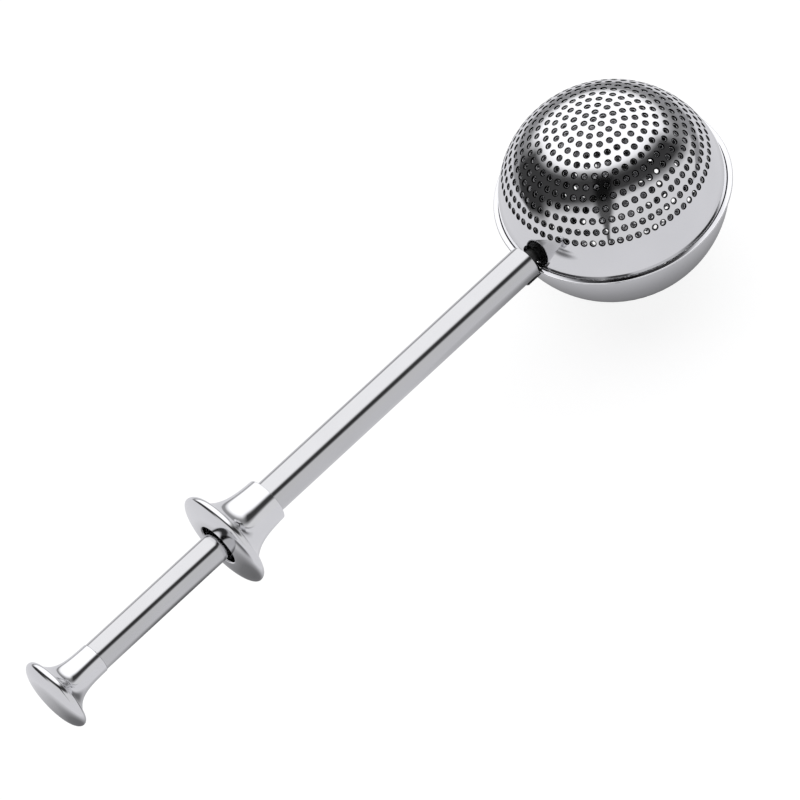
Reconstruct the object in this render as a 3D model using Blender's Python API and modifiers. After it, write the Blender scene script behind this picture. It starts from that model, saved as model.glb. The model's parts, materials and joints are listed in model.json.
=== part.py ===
"""Tea infuser with a push handle: pressing the thumb button turns the perforated dome into the bowl.

The handle is a tube with a finger flange. A plunger with a thumb button slides in it. Its drive nut
runs along a twisted strip, so the strip, the spindle and the dome turn half a turn about the handle's
axis while the bowl stays still. A return spring pushes the plunger back and closes the ball.

Metres, +Z up, +X along the handle towards the ball, +Z from the bowl to the dome. The origin is below
the middle of the object's length, on the surface that the bowl rests on. Stations along the handle are
measured from the ball's centre, and radii from the handle's axis.
"""
import math

import bmesh
import bpy
from mathutils import Matrix, Vector

MM = 0.001

# Clearances
GAP = 0.3 * MM                      # between pieces that are fitted or welded together
SLIDE_GAP = 0.24 * MM               # round pieces that sit inside or around one another
BEARING_GAP = 0.2 * MM
BRAZED_GAP = 0.15 * MM
RUNNING_GAP = 0.15 * MM             # between the dome's rim and the bowl that it turns inside

# Ball
BOWL_R = 23.75 * MM                 # outer sphere of the bowl, centred on the handle's axis
BOWL_WALL = 0.35 * MM
AXIS_ABOVE_RIM = 1.8 * MM           # the handle's axis lies this far above the rims of bowl and dome
LIP_R = 24.3 * MM
LIP_THICKNESS = 0.45 * MM
LIP_CHAMFER = 0.11 * MM
DOME_REACH = BOWL_R - BOWL_WALL - RUNNING_GAP
DOME_WALL = 0.35 * MM
DOME_CENTRE_BELOW_RIM = 1.9 * MM
DOME_RIM_R = math.sqrt(DOME_REACH ** 2 - AXIS_ABOVE_RIM ** 2)
DOME_R = math.hypot(DOME_RIM_R, DOME_CENTRE_BELOW_RIM)
DOME_CENTRE_Z = -AXIS_ABOVE_RIM - DOME_CENTRE_BELOW_RIM
NOTCH_R = 2.7 * MM                  # the dome's notch for the spindle, about the handle's axis
NOTCH_START = -26.0 * MM            # the notch is cut between these stations
NOTCH_END = -12.0 * MM

# Handle tube and finger flange
TUBE_R = 3.5 * MM
TUBE_BORE_R = 3.24 * MM
TUBE_START = -105.2 * MM
TUBE_END = -24.55 * MM
FLANGE_STATION = -108.4 * MM        # the flange is widest here
FLANGE_R = 10.5 * MM
FLANGE_EDGE_R = 1.1 * MM            # rounding of its edge towards the ball
FLANGE_FACE = -110.0 * MM           # flat ring round the mouth, towards the thumb
FLANGE_FLAT_R = 6.4 * MM            # the face is crowned from here to the widest station
FLANGE_NECK_END = -96.6 * MM
FLANGE_NECK_R = 4.6 * MM
FLANGE_FLARE_R = 8.5 * MM
FLANGE_FLARE_LENGTH = 3.0 * MM
FLANGE_MOUTH_R = 4.48 * MM
FLANGE_CHAMFER = 0.25 * MM

# Brazed saddle under the tube's end, which carries the bowl
SADDLE_START = -27.3 * MM
SADDLE_END = -23.9 * MM
SADDLE_R = 3.9 * MM
SADDLE_WALL = SADDLE_R - TUBE_R - BRAZED_GAP
SADDLE_TOP = -AXIS_ABOVE_RIM - LIP_THICKNESS - GAP

# Plunger
TRAVEL = 32.0 * MM
ROD_R = 3.06 * MM
ROD_BORE_R = 2.6 * MM
ROD_START = -142.3 * MM
ROD_END = -75.0 * MM
BUTTON_STATION = -152.7 * MM        # the button is widest here
BUTTON_R = 7.8 * MM
BUTTON_EDGE_R = 0.9 * MM            # rounding of its edge towards the ball
BUTTON_FACE = -154.6 * MM
BUTTON_FLAT_R = 2.5 * MM            # the face is crowned from here to the widest station
BUTTON_FLARE_R = 6.7 * MM
BUTTON_FLARE_LENGTH = 1.85 * MM
BUTTON_NECK_R = 3.18 * MM
BUTTON_NECK_END = ROD_START - GAP
SPIGOT_R = ROD_BORE_R - GAP
SPIGOT_LENGTH = 5.0 * MM
NUT_R = 3.0 * MM
NUT_LENGTH = 2.0 * MM
NUT_START = ROD_END + GAP

# Guide pin in the flange's neck, and the slot that it runs in
PIN_STATION = -99.0 * MM
PIN_R = 0.6 * MM
PIN_INNER = 2.75 * MM
PIN_OUTER = 4.75 * MM

# Twisted strip: half a turn over the plunger's travel
STRIP_PITCH = 2 * TRAVEL
STRIP_START = -80.0 * MM
STRIP_END = -34.0 * MM
STRIP_WIDTH = 4.4 * MM
STRIP_THICKNESS = 0.7 * MM
STRIP_LEVEL_STATION = -34.8 * MM    # the strip lies flat here, in the spindle's slot
STRIP_LENGTHS = 26                  # straight lengths that the twist is made of

# Spindle and the bush in the tube's end that carries it
HUB_START = -35.7 * MM
HUB_END = -33.05 * MM
HUB_R = 2.25 * MM
HUB_SLOT_DEPTH = 2.0 * MM
JOURNAL_R = 1.5 * MM
JOURNAL_END = -20.6 * MM
JOURNAL_BORE_R = JOURNAL_R + BEARING_GAP
SHAFT_R = 1.2 * MM
SHAFT_END = 19.9 * MM
WASHER_START = -32.75 * MM
WASHER_END = -32.3 * MM
BUSH_START = -32.0 * MM
BUSH_END = -24.85 * MM
BUSH_R = TUBE_BORE_R - SLIDE_GAP
RING_START = -21.5 * MM
RING_END = -20.9 * MM
RING_R = 3.2 * MM

# Dome brackets
BRACKET_STATION = 18.5 * MM
BRACKET_THICKNESS = 0.8 * MM
BRACKET_WIDTH = 6.0 * MM
BRACKET_HUB_R = 2.6 * MM
BRACKET_FOOT_LENGTH = 4.0 * MM

# Return spring
SPRING_START = NUT_START + NUT_LENGTH + GAP
SPRING_END = BUSH_START - GAP
SPRING_MEAN_R = 2.75 * MM
SPRING_WIRE_R = 0.22 * MM
SPRING_TURNS = 14
SPRING_POINTS_PER_TURN = 10

# Facets
BALL_SEGMENTS = 48
MERIDIAN_STEPS = 14
TURNED_SEGMENTS = 32
SMALL_SEGMENTS = 20
EDGE_STEPS = 5
CROWN_STEPS = 8
FLARE_STEPS = 9
FLARE_CROWDING = 1.6                # above 1, a flare's points lie closer at its wide end
SHARP_ANGLE = math.radians(35)

# Steels and plastic
POLISHED_GREY = 0.78
POLISHED_ROUGHNESS = 0.08
HIDDEN_GREY = 0.55
HIDDEN_ROUGHNESS = 0.3
PLASTIC_GREY = 0.02

# Placing: the ball's centre in the world
BALL_CENTRE = Vector((-(BUTTON_FACE + LIP_R) / 2, 0.0, BOWL_R))
ALONG_HANDLE = Matrix.Rotation(math.radians(90), 4, "Y")


def clear_scene():
    for old in list(bpy.data.objects):
        bpy.data.objects.remove(old, do_unlink=True)


def new_collection(name):
    made = bpy.data.collections.new(name)
    bpy.context.scene.collection.children.link(made)
    return made


def principled(name, grey, metallic, roughness):
    """A Principled BSDF of one grey."""
    made = bpy.data.materials.new(name)
    made.use_nodes = True
    shader = made.node_tree.nodes["Principled BSDF"]
    shader.inputs["Base Color"].default_value = (grey, grey, grey, 1.0)
    shader.inputs["Metallic"].default_value = metallic
    shader.inputs["Roughness"].default_value = roughness
    return made


def add_object(name, data, group):
    made = bpy.data.objects.new(name, data)
    group.objects.link(made)
    return made


def settle(obj):
    """Replace the object's mesh by its evaluated one, without modifiers, smooth with sharp edges."""
    bpy.context.view_layer.update()
    evaluated = obj.evaluated_get(bpy.context.evaluated_depsgraph_get())
    mesh = bpy.data.meshes.new_from_object(evaluated)
    obj.modifiers.clear()
    obj.data = mesh
    mesh.shade_smooth()
    mesh.set_sharp_from_angle(angle=SHARP_ANGLE)
    return obj


def turned(name, profile, segments, group, along_handle=True):
    """Turn a profile of (radius, height) points about the local Z axis.

    The profile runs down the outer side, and closes on itself where it doesn't end on the axis.
    """
    mesh = bpy.data.meshes.new(name)
    edges = [(i, i + 1) for i in range(len(profile) - 1)]
    if profile[0][0] > 0 and profile[-1][0] > 0:
        edges.append((len(profile) - 1, 0))
    mesh.from_pydata([(radius, 0.0, height) for radius, height in profile], edges, [])
    obj = add_object(name, mesh, group)
    screw = obj.modifiers.new("turn", "SCREW")
    screw.axis = "Z"
    screw.angle = math.tau
    screw.steps = segments
    screw.render_steps = segments
    screw.use_merge_vertices = True
    screw.merge_threshold = 0.00001
    obj.matrix_world = Matrix.Translation(BALL_CENTRE)
    if along_handle:
        obj.matrix_world = obj.matrix_world @ ALONG_HANDLE
    return settle(obj)


def ring(name, outer, inner, start, end, segments, group):
    """A plain tube or washer about the handle's axis."""
    profile = [(outer, end), (outer, start), (inner, start), (inner, end)]
    return turned(name, profile, segments, group)


def box(name, low, high, group):
    """A box between two corners given from the ball's centre."""
    shape = bmesh.new()
    bmesh.ops.create_cube(shape, size=1.0)
    size = Vector(high) - Vector(low)
    middle = (Vector(high) + Vector(low)) / 2
    bmesh.ops.transform(shape, matrix=Matrix.Diagonal((*size, 1.0)), verts=shape.verts)
    mesh = bpy.data.meshes.new(name)
    shape.to_mesh(mesh)
    shape.free()
    obj = add_object(name, mesh, group)
    obj.matrix_world = Matrix.Translation(BALL_CENTRE + middle)
    return obj


def cylinder(name, radius, start, end, segments, group, turn=None):
    """A cylinder along local Z, turned to lie along the handle, or as the given rotation says."""
    shape = bmesh.new()
    placing = Matrix.Translation((0.0, 0.0, (start + end) / 2))
    bmesh.ops.create_cone(shape, cap_ends=True, segments=segments, radius1=radius, radius2=radius,
                          depth=end - start, matrix=placing)
    mesh = bpy.data.meshes.new(name)
    shape.to_mesh(mesh)
    shape.free()
    obj = add_object(name, mesh, group)
    obj.matrix_world = Matrix.Translation(BALL_CENTRE) @ (turn or ALONG_HANDLE)
    return obj


def sphere(name, radius, height, group):
    """A sphere on the dome's or the bowl's centre line."""
    shape = bmesh.new()
    bmesh.ops.create_uvsphere(shape, u_segments=BALL_SEGMENTS, v_segments=BALL_SEGMENTS // 2,
                              radius=radius)
    mesh = bpy.data.meshes.new(name)
    shape.to_mesh(mesh)
    shape.free()
    obj = add_object(name, mesh, group)
    obj.matrix_world = Matrix.Translation(BALL_CENTRE + Vector((0.0, 0.0, height)))
    return obj


def combine(obj, operation, *tools):
    """Apply Booleans of one kind to an object, one tool after the other."""
    for tool in tools:
        modifier = obj.modifiers.new(tool.name, "BOOLEAN")
        modifier.operation = operation
        modifier.solver = "EXACT"
        modifier.object = tool
    return settle(obj)


def arc(centre, radius, first_deg, last_deg, steps):
    """Points of an arc as (radius from the axis, height); 0 degrees points away from the axis."""
    points = []
    for i in range(steps + 1):
        angle = math.radians(first_deg + (last_deg - first_deg) * i / steps)
        points.append((centre[0] + radius * math.cos(angle), centre[1] + radius * math.sin(angle)))
    return points


def crown(wide, flat, station, face):
    """A quarter ellipse from the widest station round to the flat of a face."""
    points = []
    for i in range(CROWN_STEPS + 1):
        angle = math.pi / 2 * i / CROWN_STEPS
        points.append((flat + (wide - flat) * math.cos(angle), station + (face - station) * math.sin(angle)))
    return points


def flare(start, end, wide, narrow, length, steps):
    """A trumpet neck whose radius falls off exponentially from wide to narrow."""
    points = []
    for i in range(steps + 1):
        share = (i / steps) ** FLARE_CROWDING
        station = start + (end - start) * share
        points.append((narrow + (wide - narrow) * math.exp(-(station - start) / length), station))
    return points


def strip_angle(station):
    """The twisted strip's angle about the handle's axis at a station."""
    return -math.tau * (station - STRIP_LEVEL_STATION) / STRIP_PITCH


def make_bowl(group):
    """The bowl: a deep sphere section with a flat outward lip."""
    inner = BOWL_R - BOWL_WALL
    lip_top = -AXIS_ABOVE_RIM
    lip_foot = lip_top - LIP_THICKNESS
    inner_top = math.degrees(math.asin(lip_top / inner))
    below_lip = math.degrees(math.asin(lip_foot / BOWL_R))
    profile = [(0.0, -inner)] + arc((0, 0), inner, -90, inner_top, MERIDIAN_STEPS)[1:]
    profile += [(LIP_R - LIP_CHAMFER, lip_top), (LIP_R, lip_top - LIP_CHAMFER)]
    profile += [(LIP_R, lip_foot + LIP_CHAMFER), (LIP_R - LIP_CHAMFER, lip_foot)]
    profile += arc((0, 0), BOWL_R, below_lip, -90, MERIDIAN_STEPS)[:-1] + [(0.0, -BOWL_R)]
    turned("bowl_shell", profile, BALL_SEGMENTS, group, along_handle=False)


def make_dome(group, cutters):
    """The dome: a shallower sphere section with a round notch for the spindle."""
    inner = DOME_R - DOME_WALL
    centre = (0.0, DOME_CENTRE_Z)
    outer_rim = math.degrees(math.asin(DOME_CENTRE_BELOW_RIM / DOME_R))
    inner_rim = math.degrees(math.asin(DOME_CENTRE_BELOW_RIM / inner))
    profile = [(0.0, DOME_CENTRE_Z + DOME_R)] + arc(centre, DOME_R, 90, outer_rim, MERIDIAN_STEPS)[1:]
    profile += arc(centre, inner, inner_rim, 90, MERIDIAN_STEPS)[:-1] + [(0.0, DOME_CENTRE_Z + inner)]
    dome = turned("dome_shell", profile, BALL_SEGMENTS, group, along_handle=False)
    notch = cylinder("cut_dome_notch", NOTCH_R, NOTCH_START, NOTCH_END, TURNED_SEGMENTS, cutters)
    return combine(dome, "DIFFERENCE", notch)


def make_pin_hole(cutters):
    """The hole for the guide pin, downwards through the flange's neck and the tube."""
    down = Matrix.Translation((PIN_STATION, 0.0, 0.0))
    return cylinder("cut_pin_hole", PIN_R + SLIDE_GAP, -2 * PIN_OUTER, 0.0, SMALL_SEGMENTS, cutters, down)


def make_handle(group, cutters):
    """Outer tube, finger flange, guide pin and the saddle that joins the tube to the bowl."""
    pin_hole = make_pin_hole(cutters)
    tube = ring("outer_tube", TUBE_R, TUBE_BORE_R, TUBE_START, TUBE_END, TURNED_SEGMENTS, group)
    combine(tube, "DIFFERENCE", pin_hole)

    edge_centre = (FLANGE_R - FLANGE_EDGE_R, FLANGE_STATION)
    bore = TUBE_R + SLIDE_GAP
    neck = flare(FLANGE_STATION + FLANGE_EDGE_R, FLANGE_NECK_END - FLANGE_CHAMFER, FLANGE_FLARE_R,
                 FLANGE_NECK_R, FLANGE_FLARE_LENGTH, FLARE_STEPS)
    profile = [(bore, FLANGE_NECK_END), (neck[-1][0] - FLANGE_CHAMFER, FLANGE_NECK_END)]
    profile += neck[::-1]
    profile += arc(edge_centre, FLANGE_EDGE_R, 90, 0, EDGE_STEPS)
    profile += crown(FLANGE_R, FLANGE_FLAT_R, FLANGE_STATION, FLANGE_FACE)[1:]
    profile += [(FLANGE_MOUTH_R + FLANGE_CHAMFER, FLANGE_FACE)]
    profile += [(FLANGE_MOUTH_R, FLANGE_FACE + FLANGE_CHAMFER)]
    profile += [(FLANGE_MOUTH_R, TUBE_START - GAP), (bore, TUBE_START - GAP)]
    flange = turned("finger_flange", profile, TURNED_SEGMENTS, group)
    combine(flange, "DIFFERENCE", pin_hole)

    down = Matrix.Translation((PIN_STATION, 0.0, 0.0))
    cylinder("guide_pin", PIN_R, -PIN_OUTER, -PIN_INNER, SMALL_SEGMENTS, group, down)

    saddle = ring("tube_saddle", SADDLE_R, SADDLE_R - SADDLE_WALL, SADDLE_START, SADDLE_END,
                  TURNED_SEGMENTS, group)
    upper = box("cut_saddle", (SADDLE_START - GAP, -2 * SADDLE_R, SADDLE_TOP),
                (SADDLE_END + GAP, 2 * SADDLE_R, 2 * SADDLE_R), cutters)
    combine(saddle, "DIFFERENCE", upper)


def make_plunger(group, cutters):
    """Inner tube with its guide slot, thumb button and the drive nut at its end."""
    rod = ring("plunger_tube", ROD_R, ROD_BORE_R, ROD_START, ROD_END, TURNED_SEGMENTS, group)
    slot_half = PIN_R + GAP
    slot = box("cut_guide_slot", (PIN_STATION - TRAVEL - slot_half, -slot_half, -2 * ROD_R),
               (PIN_STATION + slot_half, slot_half, 0.0), cutters)
    combine(rod, "DIFFERENCE", slot)

    edge_centre = (BUTTON_R - BUTTON_EDGE_R, BUTTON_STATION)
    neck = flare(BUTTON_STATION + BUTTON_EDGE_R, BUTTON_NECK_END, BUTTON_FLARE_R, BUTTON_NECK_R,
                 BUTTON_FLARE_LENGTH, FLARE_STEPS)
    profile = [(0.0, BUTTON_NECK_END + SPIGOT_LENGTH), (SPIGOT_R, BUTTON_NECK_END + SPIGOT_LENGTH)]
    profile += [(SPIGOT_R, BUTTON_NECK_END)] + neck[::-1]
    profile += arc(edge_centre, BUTTON_EDGE_R, 90, 0, EDGE_STEPS)
    profile += crown(BUTTON_R, BUTTON_FLAT_R, BUTTON_STATION, BUTTON_FACE)[1:] + [(0.0, BUTTON_FACE)]
    turned("thumb_button", profile, TURNED_SEGMENTS, group)

    nut = cylinder("drive_nut", NUT_R, NUT_START, NUT_START + NUT_LENGTH, TURNED_SEGMENTS, group)
    twist_in_nut = math.pi * NUT_LENGTH / STRIP_PITCH
    half_width = STRIP_WIDTH / 2 + SLIDE_GAP
    half_height = STRIP_THICKNESS / 2 + STRIP_WIDTH / 2 * math.sin(twist_in_nut) + GAP / 2
    middle = NUT_START + NUT_LENGTH / 2
    opening = box("cut_nut_slot", (-NUT_LENGTH, -half_width, -half_height),
                  (NUT_LENGTH, half_width, half_height), cutters)
    turn = Matrix.Rotation(strip_angle(middle), 4, "X")
    opening.matrix_world = Matrix.Translation(BALL_CENTRE + Vector((middle, 0.0, 0.0))) @ turn
    combine(nut, "DIFFERENCE", opening)


def make_strip(group):
    """The twisted strip: a flat bar cut into short lengths, each turned a little further."""
    strip = box("drive_strip", (STRIP_START, -STRIP_WIDTH / 2, -STRIP_THICKNESS / 2),
                (STRIP_END, STRIP_WIDTH / 2, STRIP_THICKNESS / 2), group)
    shape = bmesh.new()
    shape.from_mesh(strip.data)
    length = STRIP_END - STRIP_START
    for i in range(1, STRIP_LENGTHS):
        plane_x = length * (i / STRIP_LENGTHS - 0.5)
        geometry = shape.verts[:] + shape.edges[:] + shape.faces[:]
        bmesh.ops.bisect_plane(shape, geom=geometry, plane_co=(plane_x, 0.0, 0.0), plane_no=(1.0, 0.0, 0.0))
    middle = (STRIP_START + STRIP_END) / 2
    for vert in shape.verts:
        vert.co = Matrix.Rotation(strip_angle(middle + vert.co.x), 3, "X") @ vert.co
    bmesh.ops.triangulate(shape, faces=shape.faces[:])
    shape.to_mesh(strip.data)
    shape.free()


def make_spindle(group, cutters):
    """The spindle with its slotted hub, thrust washer, retaining ring and bush."""
    profile = [(0.0, SHAFT_END), (SHAFT_R, SHAFT_END), (SHAFT_R, JOURNAL_END), (JOURNAL_R, JOURNAL_END)]
    profile += [(JOURNAL_R, HUB_END), (HUB_R, HUB_END), (HUB_R, HUB_START), (0.0, HUB_START)]
    spindle = turned("spindle", profile, SMALL_SEGMENTS, group)
    slot_half = STRIP_THICKNESS / 2 + GAP
    slot = box("cut_hub_slot", (HUB_START - GAP, -2 * HUB_R, -slot_half),
               (HUB_START + HUB_SLOT_DEPTH, 2 * HUB_R, slot_half), cutters)
    combine(spindle, "DIFFERENCE", slot)

    ring("thrust_washer", HUB_R, JOURNAL_BORE_R, WASHER_START, WASHER_END, SMALL_SEGMENTS, group)
    ring("retaining_ring", RING_R, JOURNAL_BORE_R, RING_START, RING_END, SMALL_SEGMENTS, group)
    ring("front_bush", BUSH_R, JOURNAL_BORE_R, BUSH_START, BUSH_END, SMALL_SEGMENTS, group)


def make_bracket(name, side, group, cutters):
    """A bracket from the spindle up to the dome, with a foot that follows the dome's inside."""
    inside = DOME_R - DOME_WALL - GAP
    face_in = side * BRACKET_STATION
    low_x, high_x = sorted((face_in, face_in + side * BRACKET_THICKNESS))
    half = BRACKET_WIDTH / 2
    bracket = box(name, (low_x, -half, 0.0), (high_x, half, DOME_R), group)
    foot_x = sorted((face_in + side * BRACKET_THICKNESS / 2, face_in - side * BRACKET_FOOT_LENGTH))
    foot = box("foot_" + name, (foot_x[0], -half, GAP), (foot_x[1], half, DOME_R), cutters)
    hollow = sphere("hollow_" + name, inside - BRACKET_THICKNESS, DOME_CENTRE_Z, cutters)
    combine(foot, "DIFFERENCE", hollow)
    hub = cylinder("hub_" + name, BRACKET_HUB_R, low_x, high_x, SMALL_SEGMENTS, cutters)
    combine(bracket, "UNION", foot, hub)
    limit = sphere("limit_" + name, inside, DOME_CENTRE_Z, cutters)
    combine(bracket, "INTERSECT", limit)
    bore = cylinder("bore_" + name, SHAFT_R + GAP, low_x - GAP, high_x + GAP, SMALL_SEGMENTS, cutters)
    return combine(bracket, "DIFFERENCE", bore)


def make_spring(group):
    """The return spring, a helix about the strip between the drive nut and the front bush."""
    curve = bpy.data.curves.new("return_spring", "CURVE")
    curve.dimensions = "3D"
    curve.bevel_depth = SPRING_WIRE_R
    curve.bevel_resolution = 1
    curve.use_fill_caps = True
    spline = curve.splines.new("POLY")
    count = SPRING_TURNS * SPRING_POINTS_PER_TURN + 1
    spline.points.add(count - 1)
    first = SPRING_START + SPRING_WIRE_R
    last = SPRING_END - SPRING_WIRE_R
    for i in range(count):
        angle = math.tau * i / SPRING_POINTS_PER_TURN
        station = first + (last - first) * i / (count - 1)
        place = (station, SPRING_MEAN_R * math.cos(angle), SPRING_MEAN_R * math.sin(angle), 1.0)
        spline.points[i].co = place
    spring = add_object("return_spring", curve, group)
    spring.matrix_world = Matrix.Translation(BALL_CENTRE)


def hide(cutters):
    for tool in cutters.objects:
        tool.hide_render = True
        tool.display_type = "WIRE"


def paint(group):
    """Give every piece its own material: polished steel outside, duller steel or black plastic inside."""
    polished = {"bowl_shell", "dome_shell", "outer_tube", "plunger_tube", "finger_flange", "thumb_button"}
    plastic = {"front_bush", "spindle", "retaining_ring"}
    for obj in group.objects:
        if obj.name in polished:
            material = principled(obj.name, POLISHED_GREY, 1.0, POLISHED_ROUGHNESS)
        elif obj.name in plastic:
            material = principled(obj.name, PLASTIC_GREY, 0.0, HIDDEN_ROUGHNESS)
        else:
            material = principled(obj.name, HIDDEN_GREY, 1.0, HIDDEN_ROUGHNESS)
        obj.data.materials.clear()
        obj.data.materials.append(material)


def main():
    clear_scene()
    parts = new_collection("tea_infuser")
    cutters = new_collection("cutters")
    make_bowl(parts)
    make_dome(parts, cutters)
    make_handle(parts, cutters)
    make_plunger(parts, cutters)
    make_strip(parts)
    make_spindle(parts, cutters)
    make_bracket("near_bracket", -1, parts, cutters)
    make_bracket("far_bracket", 1, parts, cutters)
    make_spring(parts)
    hide(cutters)
    paint(parts)


main()
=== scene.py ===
"""Looks of the push-handle tea infuser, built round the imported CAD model.

Metres, in the CAD model's frame: +X along the handle towards the ball, +Z from the bowl to the dome.
Stations along the handle are measured from the ball's centre, and radii from the handle's axis.
"""
import json
import math

import bpy
import numpy as np
from mathutils import Matrix, Vector
from mathutils.geometry import delaunay_2d_cdt


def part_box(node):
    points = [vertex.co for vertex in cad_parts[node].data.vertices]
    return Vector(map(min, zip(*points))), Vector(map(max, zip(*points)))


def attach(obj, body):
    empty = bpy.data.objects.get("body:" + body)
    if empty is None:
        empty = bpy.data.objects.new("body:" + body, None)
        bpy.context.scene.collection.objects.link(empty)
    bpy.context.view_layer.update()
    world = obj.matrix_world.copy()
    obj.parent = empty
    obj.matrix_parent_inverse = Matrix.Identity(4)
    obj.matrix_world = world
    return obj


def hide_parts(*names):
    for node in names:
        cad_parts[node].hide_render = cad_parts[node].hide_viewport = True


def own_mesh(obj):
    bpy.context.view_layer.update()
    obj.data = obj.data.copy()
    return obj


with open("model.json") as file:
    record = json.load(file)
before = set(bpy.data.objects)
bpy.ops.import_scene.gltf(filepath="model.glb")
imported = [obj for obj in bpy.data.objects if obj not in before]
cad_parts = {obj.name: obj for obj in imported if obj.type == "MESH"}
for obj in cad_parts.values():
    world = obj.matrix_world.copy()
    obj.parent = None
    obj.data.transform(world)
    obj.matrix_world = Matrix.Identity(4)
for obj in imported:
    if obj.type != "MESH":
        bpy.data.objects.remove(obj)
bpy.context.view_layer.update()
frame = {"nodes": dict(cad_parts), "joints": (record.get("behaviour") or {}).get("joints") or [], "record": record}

MM = 0.001
HANDLE, PLUNGER, ROTOR = "handle_and_bowl", "plunger", "rotor"
TURN_JOINT = next(joint for joint in frame["joints"] if joint["name"] == "dome_turn")
BALL_CENTRE = Vector(TURN_JOINT["pos_m"])
PUSH_JOINT = next(joint for joint in frame["joints"] if joint["name"] == "plunger_push")
TRAVEL = PUSH_JOINT["range_m"][1]

# Ball: sizes from the CAD boxes, then the sheets' thicknesses and the dome's notch
BOWL_R = BALL_CENTRE.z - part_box("bowl_shell")[0][2]
LIP_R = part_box("bowl_shell")[1][1]
RIM_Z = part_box("dome_shell")[0][2] - BALL_CENTRE.z
DOME_TOP_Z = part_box("dome_shell")[1][2] - BALL_CENTRE.z
DOME_RIM_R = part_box("dome_shell")[1][1]
DOME_R = (DOME_RIM_R ** 2 + (DOME_TOP_Z - RIM_Z) ** 2) / (2 * (DOME_TOP_Z - RIM_Z))
DOME_CENTRE_Z = DOME_TOP_Z - DOME_R
WALL = 0.35 * MM
NOTCH_R = 2.4 * MM                  # the dome's notch for the spindle, about the handle's axis
LIP_THICKNESS = 0.45 * MM

# Holes in the shells
HOLE_R = 0.48 * MM
HOLE_LEAD_R = 0.72 * MM             # the rounded edge of a punched hole starts here
HOLE_LEAD_DEPTH = 0.15 * MM
HOLE_POINTS = 16
RING_STEP = math.radians(4.93)      # tilt of the rings of holes: each step is a little wider
RING_STEP_GROWTH = math.radians(0.032)
EVEN_RING_START = math.radians(2.4)
ODD_RING_START = math.radians(4.5)
DOME_RINGS = 12
BOWL_RINGS = 10

# Meshes of the shells
NOTCH_STEPS = 40
LIP_STEPS = 320
RIM_STEPS = 300
BAND_POINT_STEP = 1.1 * MM          # between the points of a row on a shell's plain stretch
BAND_ROW_STEP = 1.0 * MM
BAND_FROM_HOLES = 1.4 * MM
BAND_FROM_RIM = 0.6 * MM
BAND_FROM_NOTCH = 0.5 * MM
HOLE_WALL_ROWS = (0.33, 0.66, 1.0)  # shares of a quarter turn down a hole's rounded edge
RIM_WALL_ROWS = (-0.75, -0.35, 0.0, 0.35, 0.75)  # the same for the rim, from outside to inside

# Meshes of the turned pieces
TURNED_SEGMENTS = 128
ON_AXIS = 1e-7                      # a smaller radius is one point on the axis
EDGE_STEPS = 12
MOUTH_STEPS = 9
CROWN_STEPS = 24
FLARE_STEPS = 26
FLARE_CROWDING = 1.6                # above 1, a trumpet neck's points crowd towards its wide end
SUPPORT = 0.04 * MM                 # from a fillet to the point that keeps the next stretch straight

# Handle
TUBE_BORE_R = 3.24 * MM
PLUNGER_BORE_R = 2.6 * MM
TUBE_EDGE = 0.09 * MM
SLOT_HALF = 0.75 * MM               # half the width of the guide pin's slot
SLOT_END_STEPS = 12
SLOT_CUT_DEPTH = 5.0 * MM
FLANGE_MOUTH_R = 4.48 * MM
SPIGOT_R = 2.3 * MM
THUMB_FLAT_R = 2.5 * MM

# Return spring
WIRE_R = 0.22 * MM
SPRING_TURNS = 14
CLOSED_TURNS = 0.75                 # turns at each end that lie flat
POINTS_PER_TURN = 28
WIRE_SIDES = 8

# Looks of the steel
PAINTED_INSIDE_SHADE = 0.8                  # painted shade: the shells' insides get this share of their outsides' tint
PAINTED_SHADE_DEPTH = WALL * 0.6           # the painted inside shade starts this far below the outer skin
# the painted inside shade fades in over this much either way of that depth
PAINTED_SHADE_EDGE = 0.03 * MM
CLOUD_TINT = 0.96                   # the darkest clouds, as a share of the tint
ROUGHNESS_SPREAD = 0.25             # of the roughness either way, along the grain
GRAIN_STRENGTH = 0.25
SHARP_ANGLE = math.radians(35)

# Studio: a light tent. Directions are in degrees, as heading() takes them
WORLD_STRENGTH = 1.3
ROOF_AZIMUTH, ROOF_ELEVATION = -5.0, 57.0
TENT_GREY = 0.585
SEEN_GREY = 0.92                    # what the camera sees past the floor's edge
STAND_AZIMUTH = 159.0               # the dark shape of the camera on its stand
STAND_GREY = 0.12
FLOOR_HALF = 4.0
FLOOR_LEVEL = -0.2 * MM
FLOOR_COLOUR = 0.25
FLOOR_GLOW = 0.84
TABLE_AZIMUTH = -15.0               # the way to the table's end, as the steel mirrors it
PAINTED_SHADOW_STATIONS = (-117.0 * MM, -160.0 * MM)  # flange and button, below which the floor has painted shadows that the steel mirrors

# Camera
CAMERA_LENS = 180.0
CAMERA_DISTANCE = 0.8
CAMERA_AZIMUTH = math.radians(-28.75)
CAMERA_ELEVATION = math.radians(50.43)
CAMERA_ROLL = math.radians(-19.8)
CAMERA_AIM = BALL_CENTRE + Vector((-57.0 * MM, 8.9 * MM, -17.8 * MM))


# ---------------------------------------------------------------- materials

def node(tree, kind, **settings):
    """A new shader node with some of its settings."""
    made = tree.nodes.new(kind)
    for key, value in settings.items():
        setattr(made, key, value)
    return made


def noise(tree, coords, scale, detail=3.0):
    """A noise whose scale differs along X, Y and Z."""
    mapping = node(tree, "ShaderNodeMapping")
    mapping.inputs["Scale"].default_value = scale
    tree.links.new(coords.outputs["Object"], mapping.inputs["Vector"])
    made = node(tree, "ShaderNodeTexNoise")
    made.inputs["Scale"].default_value = 1.0
    made.inputs["Detail"].default_value = detail
    tree.links.new(mapping.outputs["Vector"], made.inputs["Vector"])
    return made.outputs["Fac"]


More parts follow.
